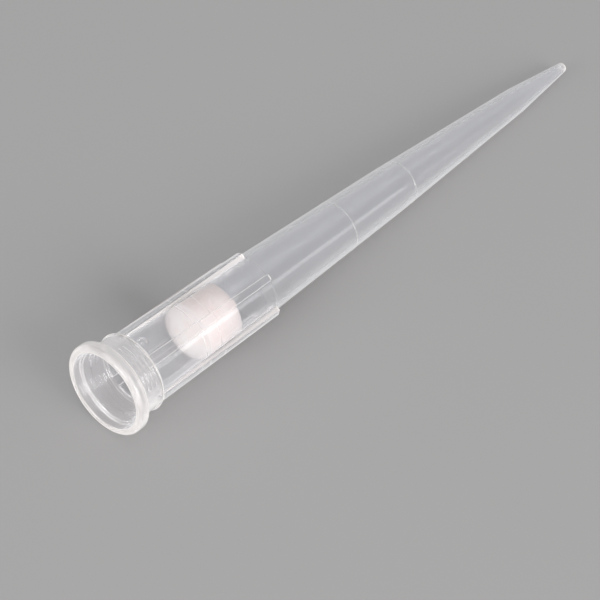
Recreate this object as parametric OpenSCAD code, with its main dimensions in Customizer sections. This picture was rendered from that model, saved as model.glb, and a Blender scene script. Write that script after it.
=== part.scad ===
// Filter pipette tip: a clear moulded tip with a porous plug pressed into its hub.
// It lies as it comes to rest, on its lip and on the start of its fine point, between two ribs.
// The mouth faces -Y and the point +Y, and the origin is under the middle of the bounding box.
// A station is a distance in millimetres along the tip's own axis, from the mouth to the point.

/* [Overall] */
// Length from the mouth to the point
tip_len = 54.4; // [52:0.2:60]
// Station where the hub ends and the cone starts
hub_end = 15.7; // [14.5:0.1:18]
// Facets of a full turn
turn_facets = 72; // [48:8:96]

/* [Mouth] */
// Outer diameter of the lip
lip_d = 7.5; // [7.4:0.05:8.4]
// Clear diameter inside the lip
lip_bore_d = 6.14; // [6:0.02:6.3]
// Length of the lip along the axis
lip_len = 0.95; // [0.85:0.05:1.2]
// Rounding at the back of the lip
lip_back_r = 0.15; // [0.1:0.01:0.2]
// Outer diameter of the collar between the lip and the bead
collar_d = 6.2; // [6.1:0.02:6.3]
// Station of the bead that ends the collar
bead_at = 2.87; // [2.8:0.01:3]
// Thickness of the bead
bead_d = 0.26; // [0.2:0.02:0.32]

/* [Seal] */
// How many fine ridges seal on the nozzle
ridge_count = 6; // [3:1:6]
// Station of the first ridge
ridge_at = 0.72; // [0.7:0.02:0.9]
// Distance from one ridge to the next
ridge_pitch = 0.41; // [0.36:0.01:0.42]
// Height of a ridge
ridge_h = 0.06; // [0.04:0.01:0.08]
// Clear diameter at the first ridge
ridge_first_d = 5.5; // [5.4:0.02:5.6]
// Diameter of the straight seat that grips the nozzle
seat_d = 5.06; // [5:0.02:5.1]
// Station where the seat starts
seat_at = 3.3; // [3.2:0.05:3.5]
// Length of the seat
seat_len = 2; // [1.5:0.1:2.5]

/* [Hub] */
// Outer diameter of the hub's wall at the bead
hub_d = 5.88; // [5.8:0.02:6]
// Outer diameter of the hub's wall at its end
hub_end_d = 5.2; // [5.14:0.02:5.3]
// Clear diameter of the hub at its end
hub_end_bore_d = 4.36; // [4.3:0.02:4.4]
// Station of the first fine ring on the hub's wall
hub_ring_at = 7.95; // [6:0.05:9]
// Distance from the first fine ring to the second
hub_ring_pitch = 1.6; // [1:0.1:3]
// Station of the two gate marks
gate_at = 3.55; // [3.5:0.05:4]
// Diameter of a gate mark
gate_d = 0.72; // [0.6:0.02:0.8]
// Depth of a gate mark, as a share of the wall
gate_share = 0.3; // [0.2:0.05:0.5]
// Turn of the first gate mark about the axis, from the top
gate_turn = 1; // [0:1:20]

/* [Ribs] */
// How many ribs stand around the hub
rib_count = 6; // [4:1:8]
// Turn of the first rib about the axis, from the top
rib_turn = 32; // [24:1:36]
// Radius to a rib's top at the bead
rib_r = 3.2; // [3.16:0.01:3.22]
// Radius to a rib's top at the hub's end
rib_end_r = 3.1; // [3:0.01:3.14]
// Width of a rib's top at the bead
rib_w = 0.86; // [0.7:0.02:1]
// Width of a rib's top at the hub's end
rib_end_w = 0.56; // [0.5:0.02:0.7]
// How much wider a rib is at its foot, on each side
rib_flare = 0.13; // [0.08:0.01:0.16]
// Bevel along the edges of a rib's top
rib_bevel = 0.07; // [0.04:0.01:0.1]
// Rounding of a rib's end
rib_round = 0.3; // [0.2:0.02:0.34]

/* [Cone] */
// Outer diameter where the cone starts
cone_d = 5.04; // [5:0.02:5.1]
// Station where the taper first steepens
waist_at = 31.5; // [29:0.5:33]
// Outer diameter there
waist_d = 3.94; // [3.8:0.02:4.1]
// Station where the fine point starts
point_at = 48; // [46:0.5:49]
// Outer diameter there
point_d = 2.22; // [2.1:0.02:2.4]
// Outer diameter of the very end
end_d = 0.86; // [0.8:0.02:1]
// Diameter of the hole in the end
orifice_d = 0.46; // [0.4:0.02:0.5]
// Wall at the waist
waist_wall = 0.38; // [0.34:0.01:0.42]
// Wall where the fine point starts
point_wall = 0.34; // [0.3:0.01:0.38]
// Station of the first graduation ring
graduation_at = 25.4; // [20:0.1:26]
// Distance from the first graduation ring to the second
graduation_pitch = 7.55; // [5:0.05:8]
// Thickness of a ring
ring_d = 0.16; // [0.12:0.01:0.2]
// How far a ring stands out
ring_h = 0.05; // [0.03:0.01:0.06]

/* [Filter] */
// Station of the filter's front face
filter_at = 8.6; // [8.4:0.1:9]
// Length of the filter
filter_len = 3.5; // [3:0.1:4.5]
// Gap between the filter and the bore
filter_gap = 0.005; // [0.005:0.005:0.02]
// Bevel on the filter's edges
filter_bevel = 0.08; // [0.04:0.02:0.12]

/* [Hidden] */
$fn = turn_facets;

lip_r = lip_d / 2;
lip_bore_r = lip_bore_d / 2;
lip_round = (lip_r - lip_bore_r) / 2;
collar_r = collar_d / 2;
flare_r = lip_r - lip_back_r - collar_r;
cone_start_r = cone_d / 2;
end_r = end_d / 2;
seat_r = seat_d / 2;
seat_end = seat_at + seat_len;
rib_end_steps = 5;
gate_nub_d = gate_d / 3;

// corners of the cone's outside, as [radius, station]
cone_corners = [[cone_start_r, hub_end], [waist_d / 2, waist_at], [point_d / 2, point_at], [end_r, tip_len]];

// the back of the lip and the lowest corner of the cone touch the ground
foot_r = lip_r - lip_back_r;
foot_at = lip_len - lip_back_r;
slope = min([for (c = cone_corners) lean_on(c)]);
axis_height = foot_r * cos(slope) + foot_at * sin(slope) + lip_back_r;
front_y = lip_round * cos(slope) - (lip_r - lip_round) * sin(slope) - lip_round;
back_y = tip_len * cos(slope) + end_r * sin(slope);

// slope of the axis when the lip's rounded back and a corner of the cone touch the ground
function lean_on(corner) =
    let (drop = foot_r - corner[0], run = corner[1] - foot_at)
        atan2(drop, run) + asin(lip_back_r / norm([drop, run]));

// radius at a station on the straight line between two points given as [radius, station]
function between(a, b, at) = a[0] + (b[0] - a[0]) * (at - a[1]) / (b[1] - a[1]);

function wall_r(at) = between([hub_d / 2, bead_at], [hub_end_d / 2, hub_end], at);
function bore_r(at) = between([seat_r, seat_end], [hub_end_bore_d / 2, hub_end], at);
function cone_r(at) = at < waist_at
    ? between([cone_start_r, hub_end], [waist_d / 2, waist_at], at)
    : between([waist_d / 2, waist_at], [point_d / 2, point_at], at);

// clear radius over a ridge's crest
function crest_r(at) = between([ridge_first_d / 2, ridge_at], [seat_r, seat_at], at);

// corners of one ridge, from the groove before it to the groove behind it
function ridge(at) = [
    [crest_r(at) + ridge_h, at - ridge_pitch / 4],
    [crest_r(at), at],
    [crest_r(at) + ridge_h, at + ridge_pitch / 4]
];

// lays a shape made along +Z down on the ground
module lay_down() {
    translate([0, -(front_y + back_y) / 2, axis_height])
        rotate([-90 - slope, 0, 0])
            children();
}

// turns a shape made on +X about the axis, by an angle counted from the top
module turned(angle) {
    rotate([0, 0, angle - 90])
        children();
}

// fine raised ring on a wall of the given radius
module ring_profile(radius, at) {
    translate([radius + ring_h - ring_d / 2, at])
        circle(d = ring_d);
}

// half section of the moulding before it is bored, as [radius, station]
module outside_profile() {
    difference() {
        polygon([
            [0, lip_round],
            [lip_r, lip_round],
            [lip_r, foot_at],
            [foot_r, lip_len],
            [collar_r, lip_len + flare_r],
            [collar_r, bead_at],
            [wall_r(bead_at + bead_d), bead_at + bead_d],
            [hub_end_d / 2, hub_end],
            each cone_corners,
            [0, tip_len]
        ]);
        translate([foot_r, lip_len + flare_r])
            circle(r = flare_r);
    }
    translate([lip_r - lip_round, lip_round])
        circle(r = lip_round);
    translate([foot_r, foot_at])
        circle(r = lip_back_r);
    translate([collar_r, bead_at])
        circle(d = bead_d);
    for (i = [0, 1]) {
        ring_profile(wall_r(hub_ring_at + i * hub_ring_pitch), hub_ring_at + i * hub_ring_pitch);
        ring_profile(cone_r(graduation_at + i * graduation_pitch), graduation_at + i * graduation_pitch);
    }
}

// half section of the bore, from the mouth's funnel to the hole in the point
module bore_profile() {
    polygon([
        [0, 0],
        [lip_bore_r, lip_round],
        for (i = [0:ridge_count - 1]) each ridge(ridge_at + i * ridge_pitch),
        [seat_r, seat_at],
        [seat_r, seat_end],
        [bore_r(hub_end), hub_end],
        [waist_d / 2 - waist_wall, waist_at],
        [point_d / 2 - point_wall, point_at],
        [orifice_d / 2, tip_len],
        [0, tip_len]
    ]);
}

// section of a rib across the axis, foot first, with its foot buried in the wall
function rib_section(top_r, width, at) = [
    for (p = [
        [(wall_r(at) + bore_r(at)) / 2, width / 2 + rib_flare],
        [top_r - rib_bevel, width / 2],
        [top_r, width / 2 - rib_bevel]
    ]) [p[0], p[1], at],
    for (p = [
        [top_r, width / 2 - rib_bevel],
        [top_r - rib_bevel, width / 2],
        [(wall_r(at) + bore_r(at)) / 2, width / 2 + rib_flare]
    ]) [p[0], -p[1], at]
];

// a rib on +X, from the bead to its rounded end
module rib() {
    sections = [
        rib_section(rib_r, rib_w, bead_at),
        for (i = [0:rib_end_steps])
            let (a = 90 * i / rib_end_steps, drop = rib_round * (1 - cos(a)))
                rib_section(rib_end_r - drop, rib_end_w - drop, hub_end - rib_round * (1 - sin(a)))
    ];
    corners = len(sections[0]);
    last = (len(sections) - 1) * corners;
    polyhedron(
        points = [for (s = sections) each s],
        faces = [
            [for (j = [corners - 1:-1:0]) j],
            [for (j = [0:corners - 1]) last + j],
            for (k = [0:len(sections) - 2], j = [0:corners - 1])
                let (a = k * corners + j, b = k * corners + (j + 1) % corners)
                    [a, b, b + corners, a + corners]
        ]
    );
}

// shallow round mark with a nub at its middle, left in the wall on +X by a gate
module gate_mark() {
    gate_depth = gate_share * (wall_r(gate_at) - seat_r);
    translate([wall_r(gate_at) - gate_depth, 0, gate_at])
        rotate([0, 90, 0])
            difference() {
                cylinder(d = gate_d, h = gate_d);
                cylinder(d = gate_nub_d, h = gate_depth);
            }
}

// the moulded tip, in one piece from the lip to the point
module tip_body() {
    color([0.88, 0.9, 0.91, 0.45])
        lay_down()
            difference() {
                union() {
                    // the turned form's seam lies between two ribs
                    turned(rib_turn + 180 / rib_count)
                        rotate_extrude()
                            difference() {
                                outside_profile();
                                bore_profile();
                            }
                    for (i = [0:rib_count - 1])
                        turned(rib_turn + i * 360 / rib_count)
                            rib();
                }
                for (i = [0, 1])
                    turned(gate_turn + i * 180)
                        gate_mark();
            }
}

// the porous plug, squeezed to the taper of the hub's bore
module filter() {
    filter_end = filter_at + filter_len;
    color([0.96, 0.94, 0.93])
        lay_down()
            rotate_extrude()
                polygon([
                    [0, filter_at],
                    [bore_r(filter_at) - filter_gap - filter_bevel, filter_at],
                    [bore_r(filter_at + filter_bevel) - filter_gap, filter_at + filter_bevel],
                    [bore_r(filter_end - filter_bevel) - filter_gap, filter_end - filter_bevel],
                    [bore_r(filter_end) - filter_gap - filter_bevel, filter_end],
                    [0, filter_end]
                ]);
}

tip_body();
filter();
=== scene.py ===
"""Looks of a filter pipette tip: a clear moulded tip with a white porous plug, lying on a grey table.

A station is a distance in millimetres along the tip's own axis, from the mouth to the point.
Half sections are lists of (radius, station) in millimetres, and the finished meshes are in metres.
"""

import math

import bmesh
import bpy
from mathutils import Matrix, Vector


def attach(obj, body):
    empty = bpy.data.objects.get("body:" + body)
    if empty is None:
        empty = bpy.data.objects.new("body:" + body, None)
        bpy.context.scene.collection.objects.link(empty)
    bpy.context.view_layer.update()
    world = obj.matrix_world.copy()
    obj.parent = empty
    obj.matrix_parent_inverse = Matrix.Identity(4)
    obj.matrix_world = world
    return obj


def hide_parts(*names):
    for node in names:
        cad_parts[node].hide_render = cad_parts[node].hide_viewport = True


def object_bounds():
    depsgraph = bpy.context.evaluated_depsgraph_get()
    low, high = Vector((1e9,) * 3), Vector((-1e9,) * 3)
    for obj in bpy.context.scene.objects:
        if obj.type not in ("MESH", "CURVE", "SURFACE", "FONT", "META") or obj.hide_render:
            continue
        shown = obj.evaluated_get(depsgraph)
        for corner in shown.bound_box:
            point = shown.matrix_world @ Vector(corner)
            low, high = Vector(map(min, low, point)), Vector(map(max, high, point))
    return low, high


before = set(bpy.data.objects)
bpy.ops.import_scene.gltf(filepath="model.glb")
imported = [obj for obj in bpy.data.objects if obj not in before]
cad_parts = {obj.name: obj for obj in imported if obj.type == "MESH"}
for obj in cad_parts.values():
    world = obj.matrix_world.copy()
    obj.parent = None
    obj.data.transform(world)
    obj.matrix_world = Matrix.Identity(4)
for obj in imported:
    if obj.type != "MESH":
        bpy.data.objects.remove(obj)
cad_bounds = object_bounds()

MM = 0.001

# ---------------------------------------------------------------- sizes of the moulding, in mm

TIP_LEN = 54.4
HUB_END = 15.7
LIP_R = 3.75
LIP_BORE_R = 3.07
LIP_ROUND = (LIP_R - LIP_BORE_R) / 2
LEAD_IN = 1.4
LIP_LEN = 0.95
LIP_BACK_R = 0.15
COLLAR_R = 3.1
BEAD_AT = 2.87
BEAD_R = 0.13
SEAT_R = 2.53
SEAT_AT = 3.3
SEAT_END = 5.3
RIDGE_COUNT = 6
RIDGE_AT = 0.72
RIDGE_PITCH = 0.41
RIDGE_H = 0.05
RIDGE_STEPS = (0.5, 0.36, 0.2, 0.08, -0.08, -0.2, -0.36)
RIDGE_FIRST_R = 2.75
HUB_R = 2.94
HUB_END_R = 2.6
HUB_END_BORE_R = 2.18
HUB_RINGS = (7.95, 9.55)
CONE_R = 2.52
WAIST = (1.97, 31.5)
FINE_POINT = (1.11, 48.0)
END_R = 0.43
ORIFICE_R = 0.23
WAIST_WALL = 0.38
POINT_WALL = 0.34
GRADUATIONS = (25.4, 32.95)
RING_R = 0.08
RING_H = 0.014
RIB_COUNT = 6
RIB_TURN = 32.0
RIB_TOP_R = 3.2
RIB_TOP_END_R = 3.1
RIB_HALF = 0.43
RIB_HALF_END = 0.28
RIB_EDGE_R = 0.07
RIB_FLARE = 0.07
RIB_END_R = 0.3
RIB_END_ROOM = 0.45
GATE_TURN = 1.0
GATE_AT = 3.55
GATE_R = 0.36
GATE_DEPTH = 0.12
FILTER_AT = 8.6
FILTER_LEN = 3.5
FILTER_GAP = 0.005
FILTER_BEVEL = 0.08
SATIN_FROM = HUB_END - 1

# how finely the meshes are cut, and the angles from which an edge stays sharp
SECTOR_COLUMNS = 50
RIB_COLUMNS = 20
PLUG_COLUMNS = 170
MOULDING_CREASE = math.radians(50)
PLUG_CREASE = math.radians(80)

# the share of light that one surface scatters, looked at straight: thick parts cooled slowly and are milkier;
# the extra milk on the bead's crest, the fine rings and the ribs' edges and ends is partly a painted highlight
LIP_MILK = 0.3
LIP_SIDE_MILK = 0.27
COLLAR_MILK = 0.22
EDGE_MILK = 0.32
# the bead's crest: the milk of a thick edge and a painted highlight along the crest
BEAD_CREST_MILK_AND_HIGHLIGHT = 0.6
HUB_MILK = 0.085
RIB_MILK = 0.1
# a rib's edges and its end: milk and a painted highlight
RIB_EDGE_MILK_AND_HIGHLIGHT = 0.34
RIB_END_MILK_AND_HIGHLIGHT = 0.6
# the fine rings: milk and a painted highlight on each ring
RING_MILK_AND_HIGHLIGHT = 0.17
CONE_MILK = 0.08
BORE_MILK = 0.045
# how high a rib stands over the wall, in mm, where it has its full milkiness
MILKY_FROM = 0.15

# ---------------------------------------------------------------- how the tip lies


def lean_on(radius, station):
    """Slope of the axis when the lip's rounded back and this corner of the cone touch the table."""
    drop, run = LIP_R - LIP_BACK_R - radius, station - LIP_LEN + LIP_BACK_R
    return math.atan2(drop, run) + math.asin(LIP_BACK_R / math.hypot(drop, run))


SLOPE = min(lean_on(*WAIST), lean_on(*FINE_POINT), lean_on(END_R, TIP_LEN))
AXIS_HEIGHT = (LIP_R - LIP_BACK_R) * math.cos(SLOPE) + (LIP_LEN - LIP_BACK_R) * math.sin(SLOPE) + LIP_BACK_R
MOUTH_Y = cad_bounds[1][1] / MM - TIP_LEN * math.cos(SLOPE) - END_R * math.sin(SLOPE)


# ---------------------------------------------------------------- half sections


def between(a, b, at):
    """Radius at a station on the straight line between two (radius, station) points."""
    return a[0] + (b[0] - a[0]) * (at - a[1]) / (b[1] - a[1])


def wall_r(at):
    return between((HUB_R, BEAD_AT), (HUB_END_R, HUB_END), at)


def hub_bore_r(at):
    return between((SEAT_R, SEAT_END), (HUB_END_BORE_R, HUB_END), at)


def crest_r(at):
    return between((RIDGE_FIRST_R, RIDGE_AT), (SEAT_R, SEAT_AT), at)


def funnel_r(at):
    """Radius of the ridges' crests, where a lead-in opens the wall out to the bore of the lip."""
    share = between((1, LIP_ROUND), (0, LIP_ROUND + LEAD_IN), min(at, LIP_ROUND + LEAD_IN))
    return crest_r(at) + (LIP_BORE_R - RIDGE_H - crest_r(LIP_ROUND)) * share ** 2 * (3 - 2 * share)


def cone_r(at):
    if at < WAIST[1]:
        return between((CONE_R, HUB_END), WAIST, at)
    return between(WAIST, FINE_POINT, at) if at < FINE_POINT[1] else between(FINE_POINT, (END_R, TIP_LEN), at)


def line(a, b, steps):
    """Points from a towards b, without b itself."""
    return [(a[0] + (b[0] - a[0]) * i / steps, a[1] + (b[1] - a[1]) * i / steps) for i in range(steps)]


def arc(centre, radius, start, end, steps):
    """Points of an arc, both ends among them. Angles are in degrees from the radial way towards the point."""
    turns = [math.radians(start + (end - start) * i / steps) for i in range(steps + 1)]
    return [(centre[0] + radius * math.cos(t), centre[1] + radius * math.sin(t)) for t in turns]


def raised_ring(wall, at):
    """A fine raised ring on a wall, as the points that stand over it."""
    half = math.degrees(math.acos(1 - RING_H / RING_R))
    centre = (wall(at) - (RING_R - RING_H), at)
    return arc(centre, RING_R, -half, half, 6)


def stretch(wall, start, end, step):
    """Points on a wall from one station to just before another, about a step apart."""
    steps = max(1, round((end - start) / step))
    return [(wall(start + (end - start) * i / steps), start + (end - start) * i / steps) for i in range(steps)]


def ringed(wall, start, end, step, rings):
    """A stretch of wall with fine raised rings on it."""
    points, here = [], start
    for at in rings:
        points += stretch(wall, here, at - RING_R, step) + [(wall(at - RING_R), at - RING_R)] + raised_ring(wall, at)
        here = at + RING_R
    return points + stretch(wall, here, end, step)


def moulding_section():
    """The closed half section of the moulding, from the front of the lip over the outside and back through the bore.
    Each point is a radius, a station, the share of a rib that may stand on it, how milky the plastic is there, and how
    satin its surface is. On the bead's crest and the fine rings the milk is partly a painted highlight."""
    flare = LIP_R - LIP_BACK_R - COLLAR_R
    bead_end = BEAD_AT + 2.2 * BEAD_R
    ring_room = GATE_AT + 2 * GATE_R
    outside = [
        (arc((LIP_R - LIP_ROUND, LIP_ROUND), LIP_ROUND, -90, -30, 6), 0, LIP_MILK),
        (arc((LIP_R - LIP_ROUND, LIP_ROUND), LIP_ROUND, -20, 0, 3), 0, LIP_SIDE_MILK),
        (arc((LIP_R - LIP_BACK_R, LIP_LEN - LIP_BACK_R), LIP_BACK_R, 0, 90, 5), 0, LIP_SIDE_MILK),
        (arc((LIP_R - LIP_BACK_R, LIP_LEN + flare), flare, -90, -180, 8)[1:], 0, COLLAR_MILK),
        (stretch(lambda at: COLLAR_R, LIP_LEN + flare + 0.2, BEAD_AT - BEAD_R, 0.2), 0, COLLAR_MILK),
        (arc((COLLAR_R, BEAD_AT), BEAD_R, -90, -20, 5), 1, COLLAR_MILK),
        # the crest of the bead is whiter, partly milk and partly a painted highlight line
        (arc((COLLAR_R, BEAD_AT), BEAD_R, -10, 10, 2), 1, BEAD_CREST_MILK_AND_HIGHLIGHT),
        (arc((COLLAR_R, BEAD_AT), BEAD_R, 20, 80, 4), 1, COLLAR_MILK),
        (stretch(wall_r, bead_end, ring_room, 0.07), 1, HUB_MILK),
        (ringed(wall_r, ring_room, HUB_END - RIB_END_ROOM, 0.4, HUB_RINGS), 1, HUB_MILK),
        (stretch(wall_r, HUB_END - RIB_END_ROOM, HUB_END, 0.05), 1, HUB_MILK),
        ([(HUB_END_R - 0.005, HUB_END)], 1, EDGE_MILK),
        ([(CONE_R + 0.05, HUB_END), (CONE_R + 0.015, HUB_END + 0.015), (cone_r(HUB_END + 0.05), HUB_END + 0.05)],
         0, CONE_MILK),
        (ringed(cone_r, HUB_END + 0.2, WAIST[1], 0.8, GRADUATIONS[:1]), 0, CONE_MILK),
        (ringed(cone_r, WAIST[1], FINE_POINT[1], 0.8, GRADUATIONS[1:]), 0, CONE_MILK),
        (stretch(cone_r, FINE_POINT[1], TIP_LEN - 0.06, 0.5), 0, CONE_MILK),
        (arc((END_R - 0.04, TIP_LEN - 0.05), 0.05, 20, 90, 3), 0, EDGE_MILK),
        (arc((ORIFICE_R + 0.03, TIP_LEN - 0.03), 0.03, 90, 180, 2), 0, EDGE_MILK),
    ]
    bore = [(ORIFICE_R, TIP_LEN - 0.06), (FINE_POINT[0] - POINT_WALL, FINE_POINT[1]), (WAIST[0] - WAIST_WALL, WAIST[1]),
            (HUB_END_BORE_R, HUB_END), (SEAT_R, SEAT_END), (SEAT_R, SEAT_AT)]
    inside = [(line(a, b, steps), 0, BORE_MILK) for a, b, steps in zip(bore, bore[1:], (8, 12, 12, 14, 6))]
    inside += [(bore[-1:], 0, BORE_MILK)]
    for i in reversed(range(RIDGE_COUNT)):
        at = RIDGE_AT + i * RIDGE_PITCH
        wave = [(share, RIDGE_H * (0.5 - 0.5 * math.cos(2 * math.pi * share))) for share in RIDGE_STEPS]
        inside += [([(funnel_r(at + share * RIDGE_PITCH) + low, at + share * RIDGE_PITCH) for share, low in wave],
                    0, BORE_MILK)]
    groove = RIDGE_AT - RIDGE_PITCH / 2
    inside += [(stretch(lambda at: funnel_r(at) + RIDGE_H, LIP_ROUND, groove, 0.05)[::-1], 0, BORE_MILK),
               (arc((LIP_R - LIP_ROUND, LIP_ROUND), LIP_ROUND, 180, 220, 4)[1:], 0, BORE_MILK),
               (arc((LIP_R - LIP_ROUND, LIP_ROUND), LIP_ROUND, 228, 270, 4), 0, LIP_MILK)]
    ring_at = HUB_RINGS + GRADUATIONS
    section = []
    for points, lift, milk in outside + inside:
        for r, z in points:
            # the fine rings get extra milk, which is partly a painted highlight
            ringed_here = milk in (HUB_MILK, CONE_MILK) and any(abs(z - at) < 0.99 * RING_R for at in ring_at)
            satin = 1 if milk == BORE_MILK and z > SATIN_FROM else 0
            section.append((r, z, lift, RING_MILK_AND_HIGHLIGHT if ringed_here else milk, satin))
    return section


def plug_section():
    """The half section of the porous plug, from the middle of its front face round to the middle of its back."""
    end = FILTER_AT + FILTER_LEN

    def side_r(at):
        return hub_bore_r(at) - FILTER_GAP

    front = (side_r(FILTER_AT) - FILTER_BEVEL, FILTER_AT)
    back = (side_r(end) - FILTER_BEVEL, end)
    points = line((0, FILTER_AT), front, 26) + [front]
    points += stretch(side_r, FILTER_AT + FILTER_BEVEL, end - FILTER_BEVEL, 0.09)
    points += [(side_r(end - FILTER_BEVEL), end - FILTER_BEVEL)]
    points += line(back, (0, end), 26) + [(0, end)]
    return [(r, z, 0, 0, 0) for r, z in points]


def section_mesh(name, section):
    """A half section as a row of vertices, with each point's lift, milk and satin as attributes."""
    mesh = bpy.data.meshes.new(name)
    mesh.from_pydata([(r * MM, 0, z * MM) for r, z, *_ in section], [(i, i + 1) for i in range(len(section) - 1)], [])
    for place, label in ((2, "lift"), (3, "milk"), (4, "satin")):
        mesh.attributes.new(label, "FLOAT", "POINT").data.foreach_set("value", [float(p[place]) for p in section])
    return bpy.data.objects.new(name, mesh)


# ---------------------------------------------------------------- node helpers


def add(tree, kind, inputs=None, **settings):
    """Adds a node to a tree, with its settings, and with each input linked or set."""
    node = tree.nodes.new(kind)
    for key, value in settings.items():
        setattr(node, key, value)
    for key, value in (inputs or {}).items():
        socket = node.inputs[key]
        if isinstance(value, bpy.types.NodeSocket):
            tree.links.new(value, socket)
        else:
            socket.default_value = value
    return node


def maths(tree, operation, *values):
    """The result of a Math node on outputs or plain numbers."""
    return add(tree, "ShaderNodeMath", dict(enumerate(values)), operation=operation).outputs[0]


def mapped(tree, value, low, high, to_low, to_high, kind="LINEAR"):
    """A value carried from one range to another, and held inside it."""
    inputs = {"Value": value, "From Min": low, "From Max": high, "To Min": to_low, "To Max": to_high}
    return add(tree, "ShaderNodeMapRange", inputs, interpolation_type=kind).outputs["Result"]


def geometry_tree(name, sizes):
    """A Geometry Nodes tree with a named input for each size, and the node that holds those inputs."""
    tree = bpy.data.node_groups.new(name, "GeometryNodeTree")
    tree.interface.new_socket("Half section", in_out="INPUT", socket_type="NodeSocketGeometry")
    for label, value in sizes.items():
        kind = {int: "NodeSocketInt", float: "NodeSocketFloat"}.get(type(value), "NodeSocketMaterial")
        tree.interface.new_socket(label, in_out="INPUT", socket_type=kind)
    tree.interface.new_socket("Geometry", in_out="OUTPUT", socket_type="NodeSocketGeometry")
    return tree, tree.nodes.new("NodeGroupInput").outputs


def grown(name, start, tree, sizes):
    """The plain mesh that a tree makes of an object, with the tree's named inputs set."""
    bpy.context.scene.collection.objects.link(start)
    modifier = start.modifiers.new(tree.name, "NODES")
    modifier.node_group = tree
    for item in tree.interface.items_tree:
        if item.in_out == "INPUT" and item.name in sizes:
            modifier[item.identifier] = sizes[item.name]
    evaluated = start.evaluated_get(bpy.context.evaluated_depsgraph_get())
    mesh = bpy.data.meshes.new_from_object(evaluated)
    bpy.data.objects.remove(start)
    return finished(name, mesh)


def finished(name, mesh):
    """A closed mesh as an object at the origin, with merged doubles and normals that face outwards."""
    work = bmesh.new()
    work.from_mesh(mesh)
    bmesh.ops.remove_doubles(work, verts=work.verts, dist=1e-6)
    bmesh.ops.dissolve_degenerate(work, edges=work.edges, dist=1e-7)
    bmesh.ops.recalc_face_normals(work, faces=work.faces)
    work.to_mesh(mesh)
    work.free()
    mesh.name = name
    piece = bpy.data.objects.new(name, mesh)
    bpy.context.scene.collection.objects.link(piece)
    return piece


# ---------------------------------------------------------------- trees that turn a half section


def rows_and_columns(tree, section, columns):
    """A sheet of vertices with a column for each turn step and a row for each point of the half section.
    Returns the sheet, the column number, and the radius, station, lift, milk and satin of each vertex's row."""
    rows = add(tree, "GeometryNodeAttributeDomainSize", {"Geometry": section}).outputs["Point Count"]
    sheet = add(tree, "GeometryNodeMeshGrid", {
        "Vertices X": maths(tree, "ADD", columns, 1), "Vertices Y": rows}).outputs["Mesh"]
    index = add(tree, "GeometryNodeInputIndex").outputs[0]
    column = maths(tree, "FLOOR", maths(tree, "DIVIDE", index, rows))
    row = maths(tree, "MODULO", index, rows)
    place = add(tree, "GeometryNodeSampleIndex", {
        "Geometry": section, "Value": add(tree, "GeometryNodeInputPosition").outputs[0], "Index": row,
    }, data_type="FLOAT_VECTOR").outputs[0]
    parts = add(tree, "ShaderNodeSeparateXYZ", {0: place}).outputs
    kept = []
    for label in ("lift", "milk", "satin"):
        value = add(tree, "GeometryNodeInputNamedAttribute", {"Name": label}, data_type="FLOAT").outputs[0]
        kept.append(add(tree, "GeometryNodeSampleIndex", {
            "Geometry": section, "Value": value, "Index": row}).outputs[0])
    return sheet, column, parts["X"], parts["Z"], *kept


def turned(tree, sheet, radius, turn, station, sizes):
    """Wraps the sheet round the axis and lays it down on the table. A turn counts from the top, in radians."""
    around = add(tree, "ShaderNodeCombineXYZ", {
        "X": maths(tree, "MULTIPLY", radius, maths(tree, "SINE", turn)),
        "Y": maths(tree, "MULTIPLY", radius, maths(tree, "MULTIPLY", maths(tree, "COSINE", turn), -1.0)),
        "Z": station,
    }).outputs[0]
    wrapped = add(tree, "GeometryNodeSetPosition", {"Geometry": sheet, "Position": around}).outputs[0]
    lean = maths(tree, "SUBTRACT", -math.pi / 2, sizes["Slope"])
    return add(tree, "GeometryNodeTransform", {
        "Geometry": wrapped,
        "Translation": add(tree, "ShaderNodeCombineXYZ", {
            "Y": sizes["Mouth"], "Z": sizes["Axis height"]}).outputs[0],
        "Rotation": add(tree, "ShaderNodeCombineXYZ", {"X": lean}).outputs[0],
    }).outputs[0]


def closed(tree, mesh, sizes, crease):
    """Joins the seam, smooths all but the creases, and gives the mesh its material."""
    joined = add(tree, "GeometryNodeMergeByDistance", {"Geometry": mesh, "Distance": 1e-6}).outputs[0]
    angle = add(tree, "GeometryNodeInputMeshEdgeAngle").outputs["Unsigned Angle"]
    smooth = add(tree, "GeometryNodeSetShadeSmooth", {"Geometry": joined, "Shade Smooth": True}).outputs[0]
    creased = add(tree, "GeometryNodeStoreNamedAttribute", {
        "Geometry": smooth, "Name": "sharp_edge", "Value": maths(tree, "GREATER_THAN", angle, crease),
    }, data_type="BOOLEAN", domain="EDGE").outputs[0]
    real = add(tree, "GeometryNodeRealizeInstances", {"Geometry": creased}).outputs[0]
    made = add(tree, "GeometryNodeSetMaterial", {"Geometry": real, "Material": sizes["Material"]}).outputs[0]
    add(tree, "NodeGroupOutput", {"Geometry": made})


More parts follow.
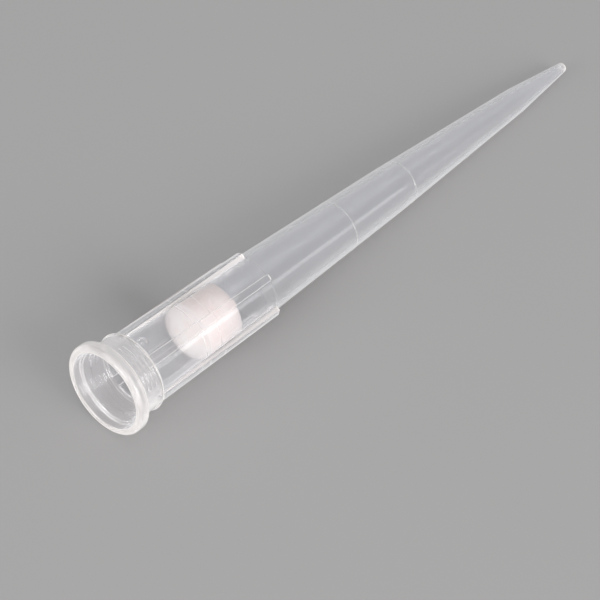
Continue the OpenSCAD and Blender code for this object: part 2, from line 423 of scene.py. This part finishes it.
def ribbed_moulding(name, section, material):
    """The moulding: the half section turned about the axis, with ribs that stand on the hub's wall."""
    sizes = {
        "Columns": RIB_COUNT * SECTOR_COLUMNS, "Ribs": RIB_COUNT, "Rib columns": RIB_COLUMNS,
        "Rib turn": math.radians(RIB_TURN), "Bead at": BEAD_AT * MM, "Hub end": HUB_END * MM,
        "Rib top": RIB_TOP_R * MM, "Rib top at end": RIB_TOP_END_R * MM,
        "Half width": RIB_HALF * MM, "Half width at end": RIB_HALF_END * MM,
        "Edge": RIB_EDGE_R * MM, "Flare": RIB_FLARE * MM, "End rounding": RIB_END_R * MM,
        "Gate turn": math.radians(GATE_TURN), "Gate at": GATE_AT * MM, "Gate radius": GATE_R * MM,
        "Gate depth": GATE_DEPTH * MM, "Rib milk": RIB_MILK, "Rib edge milk and highlight": RIB_EDGE_MILK_AND_HIGHLIGHT,
        "Rib end milk and highlight": RIB_END_MILK_AND_HIGHLIGHT, "Milky from": MILKY_FROM * MM,
        "Slope": SLOPE, "Axis height": AXIS_HEIGHT * MM, "Mouth": MOUTH_Y * MM, "Material": material,
    }
    tree, given = geometry_tree(name, sizes)
    sheet, column, base, station, wall, milk, satin = rows_and_columns(tree, given["Half section"], given["Columns"])

    # each sector holds a rib, from -1 to 1 across it, and then the bare wall up to the next rib
    in_sector = maths(tree, "DIVIDE", given["Columns"], given["Ribs"])
    step = maths(tree, "MODULO", column, in_sector)
    sector = maths(tree, "FLOOR", maths(tree, "DIVIDE", column, in_sector))
    doubled = maths(tree, "MULTIPLY", step, 2.0)
    across = maths(tree, "SUBTRACT", maths(tree, "DIVIDE", doubled, given["Rib columns"]), 1.0)
    side = maths(tree, "MINIMUM", maths(tree, "ABSOLUTE", across), 1.0)
    flat = mapped(tree, side, 0.0, 0.5, 0.0, 1.0)
    edge = mapped(tree, side, 0.5, 0.75, 0.0, 1.0)
    foot = mapped(tree, side, 0.75, 1.0, 0.0, 1.0)
    gap = mapped(tree, step, given["Rib columns"], in_sector, 0.0, 1.0)

    # the rib tapers from the bead to its rounded end
    along = mapped(tree, station, given["Bead at"], given["Hub end"], 0.0, 1.0)
    end_from = maths(tree, "SUBTRACT", given["Hub end"], given["End rounding"])
    near_end = mapped(tree, station, end_from, given["Hub end"], 0.0, 1.0)
    rest = maths(tree, "SUBTRACT", 1.0, maths(tree, "POWER", near_end, 2.0))
    dip = maths(tree, "SUBTRACT", 1.0, maths(tree, "SQRT", rest))
    drop = maths(tree, "MULTIPLY", given["End rounding"], dip)
    top = maths(tree, "SUBTRACT", mapped(tree, along, 0.0, 1.0, given["Rib top"], given["Rib top at end"]), drop)
    half = maths(tree, "SUBTRACT", mapped(tree, along, 0.0, 1.0, given["Half width"], given["Half width at end"]),
                 maths(tree, "MULTIPLY", drop, 0.5))

    # the edge of a rib's top is a quarter round
    round_over = maths(tree, "MULTIPLY", edge, math.pi / 2)
    out = maths(tree, "MULTIPLY", given["Edge"], maths(tree, "SINE", round_over))
    down = maths(tree, "MULTIPLY", given["Edge"], maths(tree, "SUBTRACT", 1.0, maths(tree, "COSINE", round_over)))
    reach = maths(tree, "ADD", maths(tree, "MULTIPLY", flat, maths(tree, "SUBTRACT", half, given["Edge"])),
                  maths(tree, "ADD", out, maths(tree, "MULTIPLY", foot, given["Flare"])))
    crest = maths(tree, "SUBTRACT", top, down)
    lifted = maths(tree, "MAXIMUM", base, mapped(tree, foot, 0.0, 1.0, crest, base, "SMOOTHSTEP"))
    ribbed = maths(tree, "ADD", base, maths(tree, "MULTIPLY", wall, maths(tree, "SUBTRACT", lifted, base)))

    # a column's turn: the middle of its rib, then its place on the rib or in the gap behind it
    half_turn = maths(tree, "DIVIDE", reach, given["Rib top"])
    pitch = maths(tree, "DIVIDE", 2 * math.pi, given["Ribs"])
    in_gap = maths(tree, "MULTIPLY", gap, maths(tree, "SUBTRACT", pitch, maths(tree, "MULTIPLY", half_turn, 2.0)))
    on_rib = maths(tree, "MULTIPLY", maths(tree, "SIGN", across), half_turn)
    turn = maths(tree, "ADD", maths(tree, "ADD", given["Rib turn"], maths(tree, "MULTIPLY", sector, pitch)),
                 maths(tree, "ADD", on_rib, in_gap))

    # two opposite gate marks: a shallow ring with a nub at its middle
    off = maths(tree, "WRAP", maths(tree, "SUBTRACT", turn, given["Gate turn"]), -math.pi / 2, math.pi / 2)
    away = maths(tree, "SQRT", maths(tree, "ADD", maths(tree, "POWER", maths(tree, "MULTIPLY", off, base), 2.0),
                                     maths(tree, "POWER", maths(tree, "SUBTRACT", station, given["Gate at"]), 2.0)))
    share = maths(tree, "DIVIDE", away, given["Gate radius"])
    sunk = maths(tree, "SUBTRACT", mapped(tree, share, 0.8, 1.1, 1.0, 0.0, "SMOOTHSTEP"),
                 mapped(tree, share, 0.2, 0.5, 1.0, 0.0, "SMOOTHSTEP"))
    dip_in = maths(tree, "MULTIPLY", maths(tree, "MULTIPLY", sunk, given["Gate depth"]), wall)
    radius = maths(tree, "SUBTRACT", ribbed, dip_in)

    # a rib is milkier at its edges, and most at its end: partly milk, partly a painted highlight along the edges and on
    # the end
    risen = maths(tree, "DIVIDE", maths(tree, "SUBTRACT", ribbed, base), given["Milky from"])
    on_top = maths(tree, "MINIMUM", risen, 1.0)
    edge_milk_and_highlight = mapped(tree, edge, 0.0, 1.0, given["Rib milk"], given["Rib edge milk and highlight"])
    rib_milk_and_highlight = mapped(tree, near_end, 0.0, 0.35, edge_milk_and_highlight, given["Rib end milk and highlight"])
    milk_with_highlights = maths(tree, "MAXIMUM", milk, maths(tree, "MULTIPLY", on_top, rib_milk_and_highlight))
    marked = sheet
    for label, value in (("milk", milk_with_highlights), ("satin", satin)):
        marked = add(tree, "GeometryNodeStoreNamedAttribute", {
            "Geometry": marked, "Name": label, "Value": value}, data_type="FLOAT", domain="POINT").outputs[0]
    laid = turned(tree, marked, radius, turn, station, given)
    closed(tree, laid, given, MOULDING_CREASE)
    return grown(name, section, tree, sizes)


def porous_plug(name, section, material):
    """The plug: the half section turned about the axis, with the small dips that its sintered grains leave."""
    sizes = {
        "Columns": PLUG_COLUMNS, "Grain": 0.17 * MM, "Dip": 0.03 * MM, "Seed": 3.0,
        "Slope": SLOPE, "Axis height": AXIS_HEIGHT * MM, "Mouth": MOUTH_Y * MM, "Material": material,
    }
    tree, given = geometry_tree(name, sizes)
    sheet, column, base, station, *_ = rows_and_columns(tree, given["Half section"], given["Columns"])
    turn = maths(tree, "MULTIPLY", maths(tree, "DIVIDE", column, given["Columns"]), 2 * math.pi)
    laid = turned(tree, sheet, base, turn, station, given)
    joined = add(tree, "GeometryNodeMergeByDistance", {"Geometry": laid, "Distance": 1e-6}).outputs[0]
    grains = add(tree, "ShaderNodeTexVoronoi", {
        "W": given["Seed"], "Scale": maths(tree, "DIVIDE", 1.0, given["Grain"])},
        voronoi_dimensions="4D", feature="SMOOTH_F1").outputs["Distance"]
    depth = maths(tree, "MULTIPLY", mapped(tree, grains, 0.15, 0.6, 0.0, -1.0, "SMOOTHSTEP"), given["Dip"])
    inward = add(tree, "ShaderNodeVectorMath", {
        0: add(tree, "GeometryNodeInputNormal").outputs[0], "Scale": depth}, operation="SCALE").outputs[0]
    grained = add(tree, "GeometryNodeSetPosition", {"Geometry": joined, "Offset": inward}).outputs[0]
    closed(tree, grained, given, PLUG_CREASE)
    return grown(name, section, tree, sizes)


# ---------------------------------------------------------------- materials

# the plastic: its gloss, how much rougher the satin bore is, how fast it whitens at a slant, the share of bounced light
# that it scatters, and how far the flow lines are drawn out along the tip
POLISH = (0.09, 0.13)
SATIN = 0.2
SLANT_POWER = 5.0
SLANT_WALLS = 65.0
HAZE_SHARE = 0.5
FLOW_STRETCH = 0.005


def linear(hex_colour):
    """A colour written as sRGB hex, as linear red, green, blue and alpha."""
    shares = [int(hex_colour[i:i + 2], 16) / 255 for i in (1, 3, 5)]
    return (*[c / 12.92 if c <= 0.04045 else ((c + 0.055) / 1.055) ** 2.4 for c in shares], 1.0)


def empty_material(name):
    material = bpy.data.materials.new(name)
    material.use_nodes = True
    material.node_tree.nodes.clear()
    return material, material.node_tree


def along_the_tip(tree):
    """Object coordinates turned so that Z runs along the tip's axis from the mouth, in metres."""
    where = add(tree, "ShaderNodeTexCoord").outputs["Object"]
    return add(tree, "ShaderNodeMapping", {
        "Vector": where, "Location": (0, MOUTH_Y * MM, AXIS_HEIGHT * MM), "Rotation": (-math.pi / 2 - SLOPE, 0, 0),
    }, vector_type="TEXTURE").outputs[0]


def moulded_polypropylene():
    """Natural polypropylene, injection moulded in a polished cavity: nearly clear, glossy outside and satin in the bore
    of the cone, with the milky haze of its crystals and faint flow lines along the tip. Thick parts look whiter, and so
    does a wall seen at a slant. The bead's crest, the fine rings and the ribs' edges and ends are whiter still, partly
    as painted highlights."""
    material, tree = empty_material("moulded clear polypropylene")
    place = along_the_tip(tree)
    parts = add(tree, "ShaderNodeSeparateXYZ", {0: place}).outputs
    outward = add(tree, "ShaderNodeCombineXYZ", {"X": parts["X"], "Y": parts["Y"]}).outputs[0]
    around = add(tree, "ShaderNodeVectorMath", {0: outward}, operation="NORMALIZE").outputs[0]
    flow = add(tree, "ShaderNodeVectorMath", {
        0: around, 1: (CONE_R * MM,) * 3,
        2: add(tree, "ShaderNodeCombineXYZ", {"Z": maths(tree, "MULTIPLY", parts["Z"], FLOW_STRETCH)}).outputs[0],
    }, operation="MULTIPLY_ADD").outputs[0]
    lines = add(tree, "ShaderNodeTexNoise", {"Vector": flow, "Scale": 1100.0, "Detail": 2.0}).outputs["Fac"]
    cloud = add(tree, "ShaderNodeTexNoise", {"Vector": place, "Scale": 350.0, "Detail": 2.0}).outputs["Fac"]
    bump = add(tree, "ShaderNodeBump", {"Height": lines, "Strength": 0.03, "Distance": 0.00001}).outputs[0]
    # the core that shaped the bore was less polished than the cavity, so the bore of the cone is satin
    satin = add(tree, "ShaderNodeAttribute", attribute_name="satin").outputs["Fac"]
    polish = mapped(tree, cloud, 0.3, 0.7, *POLISH)
    matte = maths(tree, "MULTIPLY", satin, SATIN)
    # the milk attribute is the plastic's haze; on the bead's crest, the fine rings and the ribs' edges and ends it also
    # holds painted highlights
    # a slanting look passes through more of the wall, so less of the light comes through clear
    milk = add(tree, "ShaderNodeAttribute", attribute_name="milk").outputs["Fac"]
    slant = maths(tree, "POWER", add(tree, "ShaderNodeLayerWeight", {"Blend": 0.5}).outputs["Facing"], SLANT_POWER)
    walls = maths(tree, "ADD", 1.0, maths(tree, "MULTIPLY", slant, SLANT_WALLS))
    clear_share = maths(tree, "POWER", maths(tree, "SUBTRACT", 1.0, milk), walls)
    tone = add(tree, "ShaderNodeMix", {
        0: mapped(tree, milk, CONE_MILK, LIP_MILK, 0.0, 1.0), 6: linear("#FBFCFF"), 7: linear("#FFFBF9"),
    }, data_type="RGBA").outputs[2]
    # the sheen is a faint bloom on the surface, brightest at a slant
    plastic = add(tree, "ShaderNodeBsdfPrincipled", {
        "Base Color": tone, "Roughness": maths(tree, "ADD", polish, matte), "IOR": 1.49,
        "Transmission Weight": clear_share, "Sheen Weight": 0.6, "Sheen Roughness": 0.25, "Normal": bump,
    }).outputs[0]
    # lamps and the light off the table reach through the thin wall, as they do through the real one
    clear = add(tree, "ShaderNodeBsdfTransparent", {"Color": linear("#F5F5F5")}).outputs[0]
    path = add(tree, "ShaderNodeLightPath").outputs
    haze = add(tree, "ShaderNodeBsdfDiffuse", {"Color": linear("#F5F3F2")}).outputs[0]
    bounced = add(tree, "ShaderNodeMixShader", {"Fac": HAZE_SHARE, 1: clear, 2: haze}).outputs[0]
    lit = add(tree, "ShaderNodeMixShader", {"Fac": path["Is Diffuse Ray"], 1: plastic, 2: bounced}).outputs[0]
    dimmed = add(tree, "ShaderNodeBsdfTransparent", {"Color": linear("#ECECED")}).outputs[0]
    shade = add(tree, "ShaderNodeMixShader", {"Fac": path["Is Shadow Ray"], 1: lit, 2: dimmed}).outputs[0]
    add(tree, "ShaderNodeOutputMaterial", {"Surface": shade})
    return material


def sintered_polyethylene():
    """Porous polyethylene, sintered from fine beads: bright white and matte, with a grain of about a sixth of a
    millimetre and a soft glow, because light goes in between the beads."""
    material, tree = empty_material("sintered porous polyethylene")
    place = along_the_tip(tree)
    beads = add(tree, "ShaderNodeTexVoronoi", {
        "Vector": place, "Scale": 6000.0}, feature="SMOOTH_F1").outputs["Distance"]
    patches = add(tree, "ShaderNodeTexNoise", {"Vector": place, "Scale": 900.0, "Detail": 4.0}).outputs["Fac"]
    tone = add(tree, "ShaderNodeMix", {
        0: mapped(tree, patches, 0.35, 0.65, 0.0, 1.0), 6: linear("#FCE8E2"), 7: linear("#FDEFEB"),
    }, data_type="RGBA").outputs[2]
    bump = add(tree, "ShaderNodeBump", {"Height": beads, "Strength": 0.5, "Distance": 0.00003}, invert=True).outputs[0]
    porous = add(tree, "ShaderNodeBsdfPrincipled", {
        "Base Color": tone, "Roughness": 0.85, "IOR": 1.5, "Subsurface Weight": 0.8, "Subsurface Scale": 0.004,
        "Subsurface Radius": (1.0, 0.94, 0.92), "Normal": bump,
    }).outputs[0]
    add(tree, "ShaderNodeOutputMaterial", {"Surface": porous})
    return material


def painted_table():
    """A smooth matte grey table top, with a barely uneven tone."""
    material, tree = empty_material("matte grey table")
    where = add(tree, "ShaderNodeTexCoord").outputs["Object"]
    uneven = add(tree, "ShaderNodeTexNoise", {"Vector": where, "Scale": 30.0, "Detail": 3.0}).outputs["Fac"]
    tone = add(tree, "ShaderNodeMix", {
        0: uneven, 6: linear("#A9A8A8"), 7: linear("#ACABAB")}, data_type="RGBA").outputs[2]
    paint = add(tree, "ShaderNodeBsdfPrincipled", {
        "Base Color": tone, "Roughness": 0.9, "Specular IOR Level": 0.2}).outputs[0]
    add(tree, "ShaderNodeOutputMaterial", {"Surface": paint})
    return material


# ---------------------------------------------------------------- the camera

CAMERA_AT = Vector((0.0759916, -0.1088947, 0.1458703))
CAMERA_WAY = Vector((-0.38507, 0.52648, -0.75798))
CAMERA_LEAN = math.radians(8.336)
CAMERA_LENS = 150.0


def put_camera():
    data = bpy.data.cameras.new("camera")
    data.lens = CAMERA_LENS
    data.sensor_width = 36.0
    data.clip_start = 0.01
    data.clip_end = 20.0
    camera = bpy.data.objects.new("camera", data)
    bpy.context.scene.collection.objects.link(camera)
    level = CAMERA_WAY.to_track_quat("-Z", "Y").to_matrix().to_4x4()
    camera.matrix_world = Matrix.Translation(CAMERA_AT) @ level @ Matrix.Rotation(CAMERA_LEAN, 4, "Z")
    bpy.context.scene.camera = camera


# ---------------------------------------------------------------- the table and the light

TABLE_HALF = 3.0
WORLD_STRENGTH = 0.53


def put_table():
    corners = [(x * TABLE_HALF, y * TABLE_HALF, 0) for x, y in ((-1, -1), (1, -1), (1, 1), (-1, 1))]
    mesh = bpy.data.meshes.new("table")
    mesh.from_pydata(corners, [], [(0, 1, 2, 3)])
    table = bpy.data.objects.new("table", mesh)
    mesh.materials.append(painted_table())
    bpy.context.scene.collection.objects.link(table)


def put_lamp(name, at, size, power):
    """A soft box that faces the tip, with the first of its sides along it."""
    data = bpy.data.lights.new(name, "AREA")
    data.shape = "RECTANGLE"
    data.size, data.size_y = size
    data.energy = power
    lamp = bpy.data.objects.new(name, data)
    bpy.context.scene.collection.objects.link(lamp)
    back = Vector(at).normalized()
    up = back.cross(Vector((0, 1, 0))).normalized()
    lamp.matrix_world = Matrix.Translation(at) @ Matrix((up.cross(back), up, back)).transposed().to_4x4()


def light_the_studio():
    world = bpy.data.worlds.new("studio")
    bpy.context.scene.world = world
    world.use_nodes = True
    world.node_tree.nodes.clear()
    air = add(world.node_tree, "ShaderNodeBackground", {
        "Color": linear("#FFFFFF"), "Strength": WORLD_STRENGTH}).outputs[0]
    add(world.node_tree, "ShaderNodeOutputWorld", {"Surface": air})
    put_lamp("soft box at the right", (0.84, 0.02, 0.4), (0.5, 0.5), 5.3)
    put_lamp("small soft box behind", (0.67, 0.57, 0.32), (0.24, 0.18), 0.36)
    put_lamp("soft box in front", (-0.1, -0.9, 0.3), (0.5, 0.5), 4.9)


put_camera()
put_table()
light_the_studio()

polypropylene = moulded_polypropylene()
polyethylene = sintered_polyethylene()

moulding = ribbed_moulding("tip_moulding", section_mesh("moulding section", moulding_section()), polypropylene)
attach(moulding, "root")
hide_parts("tip_body")

plug = porous_plug("porous_plug", section_mesh("plug section", plug_section()), polyethylene)
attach(plug, "root")
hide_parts("filter")

bpy.context.scene.view_settings.view_transform = "Standard"
